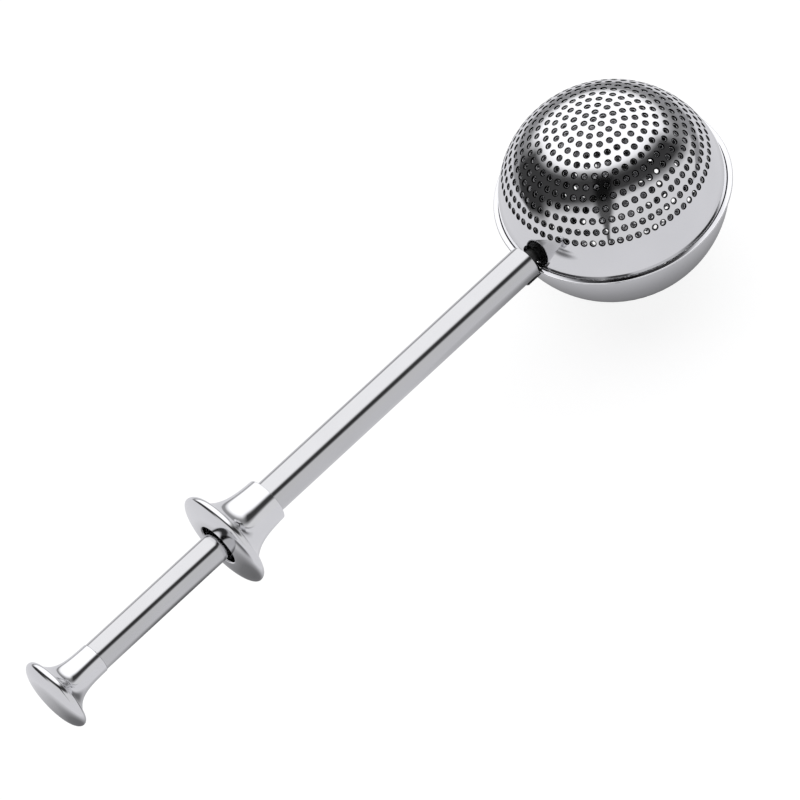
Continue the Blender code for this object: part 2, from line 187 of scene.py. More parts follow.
def span(tree, source, low, high, start=0.3, stop=0.7):
    """The source's middle range, stretched to run from low to high."""
    made = node(tree, "ShaderNodeMapRange")
    made.inputs["From Min"].default_value = start
    made.inputs["From Max"].default_value = stop
    made.inputs["To Min"].default_value = low
    made.inputs["To Max"].default_value = high
    tree.links.new(source, made.inputs["Value"])
    return made.outputs["Result"]


def steel(name, tint, roughness, grain, grain_depth, smudge=0.03, painted_shade_sphere=None):
    """Stainless steel: grain from polishing or turning, and faint cloudy smudges.

    painted_shade_sphere is (centre, radius) of a sphere inside which the steel's tint is darkened: painted shade
    on a shell's inside.
    """
    made = bpy.data.materials.new(name)
    made.use_nodes = True
    tree = made.node_tree
    shader = tree.nodes["Principled BSDF"]
    shader.inputs["Metallic"].default_value = 1.0
    coords = node(tree, "ShaderNodeTexCoord")
    lines = noise(tree, coords, grain)
    clouds = noise(tree, coords, (90.0, 90.0, 90.0), detail=5.0)

    rough = node(tree, "ShaderNodeMath", operation="ADD")
    smooth, coarse = roughness * (1 - ROUGHNESS_SPREAD), roughness * (1 + ROUGHNESS_SPREAD)
    tree.links.new(span(tree, lines, smooth, coarse), rough.inputs[0])
    tree.links.new(span(tree, clouds, -smudge * 0.3, smudge), rough.inputs[1])
    tree.links.new(rough.outputs[0], shader.inputs["Roughness"])

    mix = node(tree, "ShaderNodeMix", data_type="RGBA")
    mix.inputs["A"].default_value = (*[value * CLOUD_TINT for value in tint], 1.0)
    mix.inputs["B"].default_value = (*tint, 1.0)
    tree.links.new(span(tree, clouds, 0.0, 1.0), mix.inputs["Factor"])
    colour = mix.outputs["Result"]
    # Painted shade: inside the given sphere the tint is darkened, so the shells' insides look darker than their
    # outsides.
    if painted_shade_sphere:
        centre, radius = painted_shade_sphere
        far = node(tree, "ShaderNodeVectorMath", operation="DISTANCE")
        far.inputs[1].default_value = centre
        tree.links.new(coords.outputs["Object"], far.inputs[0])
        limits = (radius - PAINTED_SHADE_EDGE, radius + PAINTED_SHADE_EDGE)
        outside = span(tree, far.outputs["Value"], 0.0, 1.0, *limits)
        shade = node(tree, "ShaderNodeMix", data_type="RGBA")
        shade.inputs["A"].default_value = (*[value * PAINTED_INSIDE_SHADE for value in tint], 1.0)
        tree.links.new(outside, shade.inputs["Factor"])
        tree.links.new(colour, shade.inputs["B"])
        colour = shade.outputs["Result"]
    tree.links.new(colour, shader.inputs["Base Color"])

    bump = node(tree, "ShaderNodeBump")
    bump.inputs["Strength"].default_value = GRAIN_STRENGTH
    bump.inputs["Distance"].default_value = grain_depth
    tree.links.new(lines, bump.inputs["Height"])
    tree.links.new(bump.outputs["Normal"], shader.inputs["Normal"])
    return made


def bearing_plastic(name):
    """Black plastic with a satin skin and faint turning marks."""
    made = bpy.data.materials.new(name)
    made.use_nodes = True
    tree = made.node_tree
    shader = tree.nodes["Principled BSDF"]
    coords = node(tree, "ShaderNodeTexCoord")
    rings = noise(tree, coords, (5000.0, 60.0, 60.0))
    tree.links.new(span(tree, rings, 0.38, 0.55), shader.inputs["Roughness"])
    mix = node(tree, "ShaderNodeMix", data_type="RGBA")
    # Near-black: a real black bush, darkened so that it also stands as painted shade between the tube's end and
    # the dome's notch.
    mix.inputs["A"].default_value = (0.006, 0.006, 0.006, 1.0)
    mix.inputs["B"].default_value = (0.012, 0.012, 0.012, 1.0)
    tree.links.new(rings, mix.inputs["Factor"])
    tree.links.new(mix.outputs["Result"], shader.inputs["Base Color"])
    return made


def make_materials():
    """One material for each of the record's slots, and the two shells' own steels."""
    bright = (0.795, 0.795, 0.81)
    # painted shade: the handle's tubes get a darker tint than the same polished steel of the shells and turnings
    tube = (0.625, 0.625, 0.635)
    hidden = (0.62, 0.62, 0.63)
    # painted shade: the brazed steel is dark as a brazed joint is, and darker still as the shade in the gap under
    # the tube's end
    dark = (0.10, 0.10, 0.10)
    # Spheres inside which the shells' steel gets painted shade
    dome_painted_shade = (BALL_CENTRE + Vector((0.0, 0.0, DOME_CENTRE_Z)), DOME_R - PAINTED_SHADE_DEPTH)
    bowl_painted_shade = (BALL_CENTRE, BOWL_R - PAINTED_SHADE_DEPTH)
    fine = (500.0, 500.0, 500.0)
    turned_grain = (6000.0, 60.0, 60.0)
    return {
        "polished_tube": steel("polished_tube", tube, 0.09, (12.0, 5200.0, 5200.0), 0.3e-6),
        "polished_turning": steel("polished_turning", bright, 0.07, turned_grain, 0.2e-6),
        "polished_shell": steel("polished_shell", bright, 0.06, fine, 0.2e-6),
        "dome_steel": steel("dome_steel", bright, 0.06, fine, 0.2e-6, painted_shade_sphere=dome_painted_shade),
        "bowl_steel": steel("bowl_steel", bright, 0.06, fine, 0.2e-6, painted_shade_sphere=bowl_painted_shade),
        "spring_wire": steel("spring_wire", hidden, 0.25, (900.0, 900.0, 900.0), 1e-6),
        "black_plastic": bearing_plastic("black_plastic"),
        "brazed_steel": steel("brazed_steel", dark, 0.35, (300.0, 300.0, 300.0), 1e-6),
        "turned_steel": steel("turned_steel", hidden, 0.2, (7000.0, 80.0, 80.0), 1e-6),
        "pressed_strip": steel("pressed_strip", hidden, 0.24, (40.0, 3000.0, 3000.0), 1e-6),
    }


MATERIALS = make_materials()


# ---------------------------------------------------------------- mesh helpers

def add_piece(name, verts, faces, body, slot, replaced=(), normals=None, material=None):
    """A piece in the CAD frame, riding on a body and standing for the CAD nodes it replaces."""
    mesh = bpy.data.meshes.new(name)
    mesh.from_pydata([tuple(v) for v in verts], [], [tuple(f) for f in faces])
    mesh.validate()
    mesh.update()
    mesh.shade_smooth()
    if normals is None:
        mesh.set_sharp_from_angle(angle=SHARP_ANGLE)
    else:
        mesh.normals_split_custom_set_from_vertices([tuple(n) for n in normals])
    obj = bpy.data.objects.new(name, mesh)
    bpy.context.scene.collection.objects.link(obj)
    mesh.materials.append(MATERIALS[material or slot])
    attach(obj, body)
    if replaced:
        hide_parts(*replaced)
    return obj


def rounded(corners, steps=4):
    """A profile of (radius, station, fillet) corners with its corners rounded.

    Support points next to each fillet keep the reflections on straight stretches straight.
    """
    points = []
    count = len(corners)
    for i, (radius, station, fillet) in enumerate(corners):
        here = Vector((radius, station))
        if fillet <= 0:
            points.append(here)
            continue
        before = Vector(corners[i - 1][:2]) - here
        after = Vector(corners[(i + 1) % count][:2]) - here
        half = before.angle(after) / 2
        reach = min(fillet / math.tan(half), before.length * 0.45, after.length * 0.45)
        size = reach * math.tan(half)
        before.normalize()
        after.normalize()
        centre = here + (before + after).normalized() * (size / math.sin(half))
        start = here + before * reach
        end = here + after * reach
        points.append(start + before * SUPPORT)
        first = start - centre
        last = end - centre
        turn = first.angle_signed(last)
        for k in range(steps + 1):
            angle = -turn * k / steps
            spoke = Vector((first.x * math.cos(angle) - first.y * math.sin(angle),
                            first.x * math.sin(angle) + first.y * math.cos(angle)))
            points.append(centre + spoke)
        points.append(end + after * SUPPORT)
    return [(point.x, point.y) for point in points]


def lathe(profile, closed):
    """Vertices and faces of a profile turned about the handle's axis."""
    verts = []
    rows = []
    for radius, station in profile:
        row = []
        steps = TURNED_SEGMENTS if radius > ON_AXIS else 1
        for k in range(steps):
            angle = math.tau * k / TURNED_SEGMENTS
            spoke = Vector((station, radius * math.cos(angle), radius * math.sin(angle)))
            row.append(len(verts))
            verts.append(BALL_CENTRE + spoke)
        rows.append(row)
    faces = []
    pairs = list(zip(rows, rows[1:]))
    if closed:
        pairs.append((rows[-1], rows[0]))
    for upper, lower in pairs:
        for k in range(TURNED_SEGMENTS):
            n = (k + 1) % TURNED_SEGMENTS
            corners = [upper[k % len(upper)], upper[n % len(upper)],
                       lower[n % len(lower)], lower[k % len(lower)]]
            face = list(dict.fromkeys(corners))
            if len(face) > 2:
                faces.append(face)
    return verts, faces


def turned(name, corners, body, slot, replaced, steps=4):
    """A turned piece from rounded corners; it closes on itself where it doesn't reach the axis."""
    closed = corners[0][0] > 0 and corners[-1][0] > 0
    verts, faces = lathe(rounded(corners, steps), closed)
    return add_piece(name, verts, faces, body, slot, replaced)


def arc(centre, radius, first_deg, last_deg, steps):
    """Points of an arc as (radius from the axis, station, no fillet)."""
    points = []
    for i in range(steps + 1):
        angle = math.radians(first_deg + (last_deg - first_deg) * i / steps)
        points.append((centre[0] + radius * math.cos(angle),
                       centre[1] + radius * math.sin(angle), 0.0))
    return points


def flare(start, end, wide, narrow, length):
    """A trumpet neck whose radius falls off exponentially from wide to narrow."""
    points = []
    for i in range(FLARE_STEPS + 1):
        share = (i / FLARE_STEPS) ** FLARE_CROWDING
        station = start + (end - start) * share
        radius = narrow + (wide - narrow) * math.exp(-(station - start) / length)
        points.append((radius, station, 0.0))
    return points


def crown(wide, flat, station, face):
    """A quarter ellipse from the widest station round to the flat of a face."""
    points = []
    for i in range(1, CROWN_STEPS + 1):
        angle = math.pi / 2 * i / CROWN_STEPS
        points.append((flat + (wide - flat) * math.cos(angle),
                       station + (face - station) * math.sin(angle), 0.0))
    return points


def span_of(name):
    """First and last station and the outer radius of a CAD node that lies along the handle."""
    low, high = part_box(name)
    return low[0] - BALL_CENTRE.x, high[0] - BALL_CENTRE.x, (high[2] - low[2]) / 2


# ---------------------------------------------------------------- perforated shells

class Shell:
    """A part of a sphere as a sheet with holes.

    Its points are laid out flat round the pole, +1 for the top and -1 for the bottom, and lifted later.
    """

    def __init__(self, radius, centre_z, pole):
        self.radius = radius
        self.inner = radius - WALL
        self.centre = BALL_CENTRE + Vector((0.0, 0.0, centre_z))
        self.pole = pole
        self.flat = []
        self.lower = []
        self.loops = []

    def flatten(self, direction):
        """The point on the flat sheet of a direction from the sphere's centre."""
        angle = math.acos(max(-1.0, min(1.0, direction.z * self.pole)))
        around = math.atan2(direction.y, direction.x)
        return Vector((angle * math.cos(around), angle * math.sin(around)))

    def lift(self, flat):
        """The direction from the sphere's centre of a point on the flat sheet."""
        angle = flat.length
        if angle < 1e-9:
            return Vector((0.0, 0.0, self.pole))
        side = flat / angle
        return Vector((side.x * math.sin(angle), side.y * math.sin(angle),
                       self.pole * math.cos(angle)))

    def add_loop(self, directions, inner_points, kind):
        """A closed edge: its directions on the outer sphere, and its points on the inner one."""
        first = len(self.flat)
        for direction, point in zip(directions, inner_points):
            self.flat.append(self.flatten(direction))
            self.lower.append(point)
        self.loops.append((kind, list(range(first, len(self.flat)))))

    def add_hole(self, direction):
        """A punched round hole about a direction."""
        side = direction.orthogonal().normalized()
        other = direction.cross(side)
        directions = []
        inner = []
        for k in range(HOLE_POINTS):
            angle = math.tau * k / HOLE_POINTS
            spoke = side * math.cos(angle) + other * math.sin(angle)
            directions.append((direction * self.radius + spoke * HOLE_LEAD_R).normalized())
            inner.append((direction * self.inner + spoke * HOLE_R).normalized() * self.inner)
        self.add_loop(directions, inner, "hole")

    def add_point(self, direction):
        """A point of the plain sheet."""
        self.flat.append(self.flatten(direction))
        self.lower.append(direction * self.inner)


def tilted(pole, tilt, angle):
    """The direction that leans by tilt from the pole, at an angle about it."""
    return Vector((math.sin(tilt) * math.cos(angle), math.sin(tilt) * math.sin(angle),
                   pole * math.cos(tilt)))


def ring_directions(pole, rings):
    """Directions of holes in rings about the pole, six more in each ring."""
    found = [Vector((0.0, 0.0, pole))]
    for k in range(1, rings + 1):
        tilt = ring_tilt(k)
        start = ODD_RING_START + math.pi / (6 * k) if k % 2 else EVEN_RING_START
        for i in range(6 * k):
            angle = start + math.tau * i / (6 * k)
            found.append(tilted(pole, tilt, angle))
    return found


def ring_tilt(ring):
    """The angle between the pole and a ring of holes."""
    return ring * RING_STEP + ring ** 2 * RING_STEP_GROWTH


def sphere_point(radius, y, z):
    """The point of a sphere about its own centre at y and z, on the handle's side."""
    return Vector((-math.sqrt(radius ** 2 - y ** 2 - z ** 2), y, z))


def rim_walk(radius, rim, centre_z, notched):
    """The rim's points about the sphere's centre: a level circle that goes over any notch."""
    rim_level = rim - centre_z
    circle = math.sqrt(radius ** 2 - rim_level ** 2)
    points = []
    half = 0.0
    if notched:
        corner = math.asin(-rim / NOTCH_R)
        for i in range(NOTCH_STEPS + 1):
            angle = -corner + (math.pi + 2 * corner) * i / NOTCH_STEPS
            y, z = NOTCH_R * math.cos(angle), NOTCH_R * math.sin(angle)
            points.append(sphere_point(radius, y, z - centre_z))
        half = math.asin(math.sqrt(NOTCH_R ** 2 - rim ** 2) / circle)
    for i in range(1, RIM_STEPS):
        angle = math.pi + half + (math.tau - 2 * half) * i / RIM_STEPS
        points.append(Vector((circle * math.cos(angle), circle * math.sin(angle), rim_level)))
    return points


def fill_band(shell, first_tilt, last_tilt, keep):
    """Points on the plain stretch of a shell, so that it stays round."""
    tilt = first_tilt
    row = 0
    while tilt < last_tilt:
        count = int(math.tau * math.sin(tilt) * shell.radius / BAND_POINT_STEP)
        for i in range(count):
            angle = math.tau * (i + 0.5 * (row % 2)) / count
            direction = tilted(shell.pole, tilt, angle)
            if keep(direction * shell.radius):
                shell.add_point(direction)
        tilt += BAND_ROW_STEP / shell.radius
        row += 1


def build_shell(shell, name, body, material, replaced):
    """Triangulate the flat sheet between its edges, lift it, and close the walls of rim and holes."""
    edges = []
    for _, loop in shell.loops:
        edges += [(loop[i], loop[(i + 1) % len(loop)]) for i in range(len(loop))]
    result = delaunay_2d_cdt(shell.flat, edges, [], 0, 1e-9)
    flat_out, faces_out, origins = result[0], result[2], result[3]
    source = [origin[0] for origin in origins]

    verts = []
    normals = []
    for flat in flat_out:
        direction = shell.lift(flat)
        verts.append(shell.centre + direction * shell.radius)
        normals.append(direction)
    count = len(verts)
    for i in range(count):
        point = shell.lower[source[i]]
        verts.append(shell.centre + point)
        normals.append(-point.normalized())

    # A face with every corner on one hole's edge lies in that hole. The rim is the first loop.
    owner = {i: number for number, (_, loop) in enumerate(shell.loops) for i in loop}
    plain, rim = {-1}, {0}
    outline = np.array([(shell.flat[i].x, shell.flat[i].y) for i in shell.loops[0][1]])
    faces = []
    for face in faces_out:
        owners = {owner.get(source[i], -1) for i in face}
        if len(owners) == 1 and owners not in (plain, rim):
            continue
        middle = sum((flat_out[i] for i in face), Vector((0.0, 0.0))) / len(face)
        if not inside(outline, middle):
            continue
        loop = list(face) if shell.pole > 0 else list(face)[::-1]
        faces.append(loop)
        faces.append([i + count for i in loop[::-1]])

    index = {origin: i for i, origin in enumerate(source)}
    for kind, loop in shell.loops:
        ids = [index[i] for i in loop]
        close_wall(shell, kind, ids, count, verts, normals, faces)
    return add_piece(name, verts, faces, body, "polished_shell", replaced, normals, material)


def inside(outline, point):
    """Whether a flat point lies inside a closed outline."""
    x, y = outline[:, 0], outline[:, 1]
    nx, ny = np.roll(x, -1), np.roll(y, -1)
    crosses = (y > point.y) != (ny > point.y)
    with np.errstate(divide="ignore", invalid="ignore"):
        at = (nx - x) * (point.y - y) / (ny - y) + x
    return bool(np.count_nonzero(crosses & (point.x < at)) % 2)


def hole_rows(shell, ids, verts, normals):
    """Rows of points down the rounded edge of a punched hole."""
    middle = sum((verts[i] for i in ids), Vector((0.0, 0.0, 0.0))) / len(ids)
    axis = (middle - shell.centre).normalized()
    rows = []
    for share in HOLE_WALL_ROWS:
        angle = share * math.pi / 2
        size = HOLE_R + (HOLE_LEAD_R - HOLE_R) * (1 - math.sin(angle))
        depth = HOLE_LEAD_DEPTH * (1 - math.cos(angle))
        level = math.sqrt(shell.radius ** 2 - HOLE_LEAD_R ** 2) - depth
        row = []
        for i in ids:
            spoke = verts[i] - shell.centre
            spoke = (spoke - axis * spoke.dot(axis)).normalized()
            row.append(len(verts))
            verts.append(shell.centre + axis * level + spoke * size)
            normals.append((axis * math.cos(angle) - spoke * math.sin(angle)).normalized())
        rows.append(row)
    return rows


def rim_rows(shell, ids, count, verts, normals):
    """Rows of points round the rim's edge, which bulges a little past a straight cut."""
    sunk, bulge = WALL * 0.15, WALL * 0.3
    rows = []
    for share in RIM_WALL_ROWS:
        angle = share * math.pi / 2
        row = []
        for k, i in enumerate(ids):
            outer = verts[i]
            inner = verts[i + count]
            along = verts[ids[(k + 1) % len(ids)]] - verts[ids[k - 1]]
            through = (outer - inner).normalized()
            away = along.cross(through).normalized()
            if away.dot(outer - shell.centre - Vector((0, 0, shell.pole)) * shell.radius) < 0:
                away = -away
            half = (outer - inner).length / 2
            row.append(len(verts))
            verts.append((outer + inner) / 2 - away * sunk + away * bulge * math.cos(angle)
                         - through * half * math.sin(angle))
            normals.append((away * math.cos(angle) - through * math.sin(angle)).normalized())
        rows.append(row)
    return rows


def close_wall(shell, kind, ids, count, verts, normals, faces):
    """The rounded wall between the outer and the inner edge of a hole or of the rim."""
    if kind == "hole":
        rows = hole_rows(shell, ids, verts, normals)
    else:
        rows = rim_rows(shell, ids, count, verts, normals)
    rows = [ids] + rows + [[i + count for i in ids]]
    for upper, lower in zip(rows, rows[1:]):
        for k in range(len(ids)):
            n = (k + 1) % len(ids)
            faces.append([upper[k], lower[k], lower[n], upper[n]])


def plain_band(shell, rings, rim):
    """Points between the last ring of holes and the rim, away from the dome's notch."""
    first = ring_tilt(rings) + BAND_FROM_HOLES / shell.radius
    centre_z = shell.centre.z - BALL_CENTRE.z
    last = math.acos((rim - centre_z) * shell.pole / shell.radius) - BAND_FROM_RIM / shell.radius

    def keep(point):
        clear = math.hypot(point.y, point.z + centre_z) > NOTCH_R + BAND_FROM_NOTCH
        return shell.pole < 0 or point.x > 0 or clear

    fill_band(shell, first, last, keep)


def make_dome():
    """The dome's sheet, with the spindle's notch in its rim."""
    shell = Shell(DOME_R, DOME_CENTRE_Z, 1)
    outer = rim_walk(shell.radius, RIM_Z, DOME_CENTRE_Z, True)
    inner = rim_walk(shell.inner, RIM_Z, DOME_CENTRE_Z, True)
    shell.add_loop([point.normalized() for point in outer], inner, "rim")
    for direction in ring_directions(1, DOME_RINGS):
        shell.add_hole(direction)
    plain_band(shell, DOME_RINGS, RIM_Z)
    build_shell(shell, "dome_perforated", ROTOR, "dome_steel", ["dome_shell"])


def make_bowl():
    """The bowl's sheet, whose edge is hidden in the lip."""
    rim = RIM_Z - LIP_THICKNESS / 2
    shell = Shell(BOWL_R, 0.0, -1)
    outer = rim_walk(shell.radius, rim, 0.0, False)
    inner = rim_walk(shell.inner, rim, 0.0, False)
    shell.add_loop([point.normalized() for point in outer], inner, "rim")
    for direction in ring_directions(-1, BOWL_RINGS):
        shell.add_hole(direction)
    plain_band(shell, BOWL_RINGS, rim)
    build_shell(shell, "bowl_perforated", HANDLE, "bowl_steel", ["bowl_shell"])


def make_lip():
    """The bowl's outward lip: a rounded band round the rim."""
    foot = RIM_Z - LIP_THICKNESS
    root = math.sqrt((BOWL_R - WALL) ** 2 - foot ** 2)
    fold = LIP_THICKNESS * 0.15
    edge = LIP_THICKNESS * 0.45
    section = rounded([(root, RIM_Z, fold), (LIP_R, RIM_Z, edge),
                       (LIP_R, foot, edge), (root, foot, 0.0)])
    verts = []
    faces = []
    width = len(section)
    for i in range(LIP_STEPS):
        angle = math.tau * i / LIP_STEPS
        for radius, level in section:
            spoke = Vector((radius * math.cos(angle), radius * math.sin(angle), level))
            verts.append(BALL_CENTRE + spoke)
        for k in range(width):
            here, there = i * width, (i + 1) % LIP_STEPS * width
            n = (k + 1) % width
            faces.append([here + k, here + n, there + n, there + k])
    add_piece("bowl_lip", verts, faces, HANDLE, "polished_shell")


# ---------------------------------------------------------------- handle

def make_tube(name, cad_node, bore, body):
    """A plain tube with broken edges."""
    start, end, radius = span_of(cad_node)
    corners = [(radius, end, TUBE_EDGE), (radius, start, TUBE_EDGE),
               (bore, start, TUBE_EDGE), (bore, end, TUBE_EDGE)]
    return turned(name, corners, body, "polished_tube", [cad_node])


def make_tubes():
    """The handle tube, and the plunger's tube with its slot."""
    make_tube("handle_tube", "outer_tube", TUBE_BORE_R, HANDLE)
    rod = make_tube("push_tube", "plunger_tube", PLUNGER_BORE_R, PLUNGER)
    cut_guide_slot(rod)


def cut_guide_slot(rod):
    """The slot along the plunger tube's underside that the guide pin runs in, with round ends."""
    low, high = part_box("guide_pin")
    front = (low[0] + high[0]) / 2
    back = front - TRAVEL
    outline = []
    for centre, first in ((front, -90), (back, 90)):
        for i in range(SLOT_END_STEPS + 1):
            angle = math.radians(first + 180 / SLOT_END_STEPS * i)
            outline.append((centre + SLOT_HALF * math.cos(angle), SLOT_HALF * math.sin(angle)))
    count = len(outline)
    top, foot = BALL_CENTRE.z, BALL_CENTRE.z - SLOT_CUT_DEPTH
    mesh = bpy.data.meshes.new("slot_cutter")
    verts = [(x, y, foot) for x, y in outline] + [(x, y, top) for x, y in outline]
    faces = [list(range(count))[::-1], [count + i for i in range(count)]]
    for i in range(count):
        n = (i + 1) % count
        faces.append([i, n, count + n, count + i])
    mesh.from_pydata(verts, [], faces)
    cutter = bpy.data.objects.new("slot_cutter", mesh)
    bpy.context.scene.collection.objects.link(cutter)
    modifier = rod.modifiers.new("slot", "BOOLEAN")
    modifier.operation = "DIFFERENCE"
    modifier.solver = "EXACT"
    modifier.object = cutter
    bpy.context.view_layer.update()
    graph = bpy.context.evaluated_depsgraph_get()
    result = bpy.data.meshes.new_from_object(rod.evaluated_get(graph))
    rod.modifiers.clear()
    rod.data = result
    result.set_sharp_from_angle(angle=SHARP_ANGLE)
    bpy.data.objects.remove(cutter)


def make_spring():
    """The return spring with closed ends."""
    low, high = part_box("return_spring")
    mean = (high[2] - low[2]) / 2 - WIRE_R
    first, last = low[0] + WIRE_R, high[0] - WIRE_R
    flat = 2 * WIRE_R / (last - first)      # share of the length that a closed turn takes
    verts = []
    faces = []
    count = SPRING_TURNS * POINTS_PER_TURN + 1
    for i in range(count):
        turn = i / POINTS_PER_TURN
        if turn < CLOSED_TURNS:
            share = flat * turn
        elif turn > SPRING_TURNS - CLOSED_TURNS:
            share = 1 - flat * (SPRING_TURNS - turn)
        else:
            rise = (turn - CLOSED_TURNS) / (SPRING_TURNS - 2 * CLOSED_TURNS)
            share = flat * CLOSED_TURNS + (1 - 2 * flat * CLOSED_TURNS) * rise
        station = first + (last - first) * share
        angle = math.tau * turn
        spoke = Vector((0.0, math.cos(angle), math.sin(angle)))
        middle = Vector((station, 0.0, BALL_CENTRE.z)) + spoke * mean
        for k in range(WIRE_SIDES):
            side = math.tau * k / WIRE_SIDES
            verts.append(middle + spoke * (WIRE_R * math.cos(side))
                         + Vector((WIRE_R * math.sin(side), 0.0, 0.0)))
    for i in range(count - 1):
        here, there = i * WIRE_SIDES, (i + 1) * WIRE_SIDES
        for k in range(WIRE_SIDES):
            n = (k + 1) % WIRE_SIDES
            faces.append([here + k, there + k, there + n, here + n])
    faces.append(list(range(WIRE_SIDES)))
    faces.append([(count - 1) * WIRE_SIDES + k for k in range(WIRE_SIDES)][::-1])
    spring = add_piece("spring_wound", verts, faces, HANDLE, "spring_wire", ["return_spring"])
    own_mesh(spring)


def make_flange():
    """The finger flange: neck, thin edge, crowned face and open mouth, from the neck's end."""
    start, end, radius = span_of("finger_flange")
    tube_start, _, tube_r = span_of("outer_tube")
    edge = 1.1 * MM
    widest = start + 1.6 * MM
    mouth_round = 0.3 * MM
    bore = tube_r + 0.06 * MM
    seat = tube_start - 0.3 * MM
    neck = flare(widest + edge, end - 0.35 * MM, wide=8.5 * MM, narrow=4.6 * MM, length=3.0 * MM)
    corners = [(bore, end, 0.05 * MM), (neck[-1][0] - 0.02 * MM, end, 0.3 * MM)]
    corners += neck[::-1]
    corners += arc((radius - edge, widest), edge, 82, 0, EDGE_STEPS)
    corners += crown(radius, FLANGE_MOUTH_R + mouth_round, widest, start)
    mouth = (FLANGE_MOUTH_R + mouth_round, start + mouth_round)
    corners += arc(mouth, mouth_round, -99, -180, MOUTH_STEPS)
    corners += [(FLANGE_MOUTH_R, seat, 0.2 * MM), (bore, seat, 0.1 * MM)]
    turned("flange_turned", corners, HANDLE, "polished_turning", ["finger_flange"], steps=8)


def make_button():
    """The thumb button: spigot, neck, thin edge and crowned face, from the spigot's end."""
    start, end, radius = span_of("thumb_button")
    edge = 0.9 * MM
    widest = start + 1.9 * MM
    neck_end = span_of("plunger_tube")[0] - 0.04 * MM
    neck = flare(widest + edge, neck_end - 0.12 * MM, wide=6.7 * MM, narrow=3.2 * MM, length=1.85 * MM)
    corners = [(0.0, end, 0.0), (SPIGOT_R, end, 0.2 * MM), (SPIGOT_R, neck_end, 0.1 * MM)]
    corners += [(neck[-1][0], neck_end, 0.1 * MM)]
    corners += neck[::-1]
    corners += arc((radius - edge, widest), edge, 82, 0, EDGE_STEPS)
    corners += crown(radius, THUMB_FLAT_R, widest, start)
    corners += [(0.0, start, 0.0)]
    turned("button_turned", corners, PLUNGER, "polished_turning", ["thumb_button"])


# ---------------------------------------------------------------- stage

def grey_ramp(tree, source, stops):
    """Greys over a source that runs from 0 to the last stop; the stops are (source value, grey)."""
    full = stops[-1][0]
    share = node(tree, "ShaderNodeMath", operation="DIVIDE")
    share.inputs[1].default_value = full
    tree.links.new(source, share.inputs[0])
    ramp = node(tree, "ShaderNodeValToRGB")
    tree.links.new(share.outputs[0], ramp.inputs[0])
    elements = ramp.color_ramp.elements
    while len(elements) < len(stops):
        elements.new(0.5)
    for element, (value, grey) in zip(elements, stops):
        element.position = value / full
        element.color = (grey, grey, grey * 1.008, 1.0)
    return ramp.outputs["Color"]


def dot(tree, coords, axis):
    """How far the sky's direction points along an axis, from -1 to 1."""
    made = node(tree, "ShaderNodeVectorMath", operation="DOT_PRODUCT")
    made.inputs[1].default_value = axis
    tree.links.new(coords.outputs["Generated"], made.inputs[0])
    return made.outputs["Value"]


def heading(azimuth, elevation=0.0):
    """A direction from its angles in degrees; azimuth 0 is the camera's way, and grows to its left."""
    turn = math.radians(azimuth) + CAMERA_AZIMUTH
    flat = math.cos(math.radians(elevation))
    return Vector((-math.sin(turn) * flat, math.cos(turn) * flat, math.sin(math.radians(elevation))))


def degrees_from(tree, coords, azimuth, elevation):
    """The angle in degrees between the sky's direction and another one."""
    angle = node(tree, "ShaderNodeMath", operation="ARCCOSINE")
    tree.links.new(dot(tree, coords, heading(azimuth, elevation)), angle.inputs[0])
    degrees = node(tree, "ShaderNodeMath", operation="DEGREES")
    tree.links.new(angle.outputs[0], degrees.inputs[0])
    return degrees.outputs[0]


def blend(tree, coords, azimuth, limits, elsewhere, there):
    """A colour of the sky's side at an azimuth, and another one elsewhere.

    The limits are cosines of the angle from that side, at which the blend starts and ends.
    """
    made = node(tree, "ShaderNodeMix", data_type="RGBA")
    side = dot(tree, coords, heading(azimuth))
    tree.links.new(span(tree, side, 0.0, 1.0, *limits), made.inputs["Factor"])
    tree.links.new(elsewhere, made.inputs["A"])
    tree.links.new(there, made.inputs["B"])
    return made.outputs["Result"]


def multiply(tree, first, second):
    """The product of two colours."""
    made = node(tree, "ShaderNodeMix", data_type="RGBA", blend_type="MULTIPLY")
    made.inputs["Factor"].default_value = 1.0
    tree.links.new(first, made.inputs["A"])
    tree.links.new(second, made.inputs["B"])
    return made.outputs["Result"]


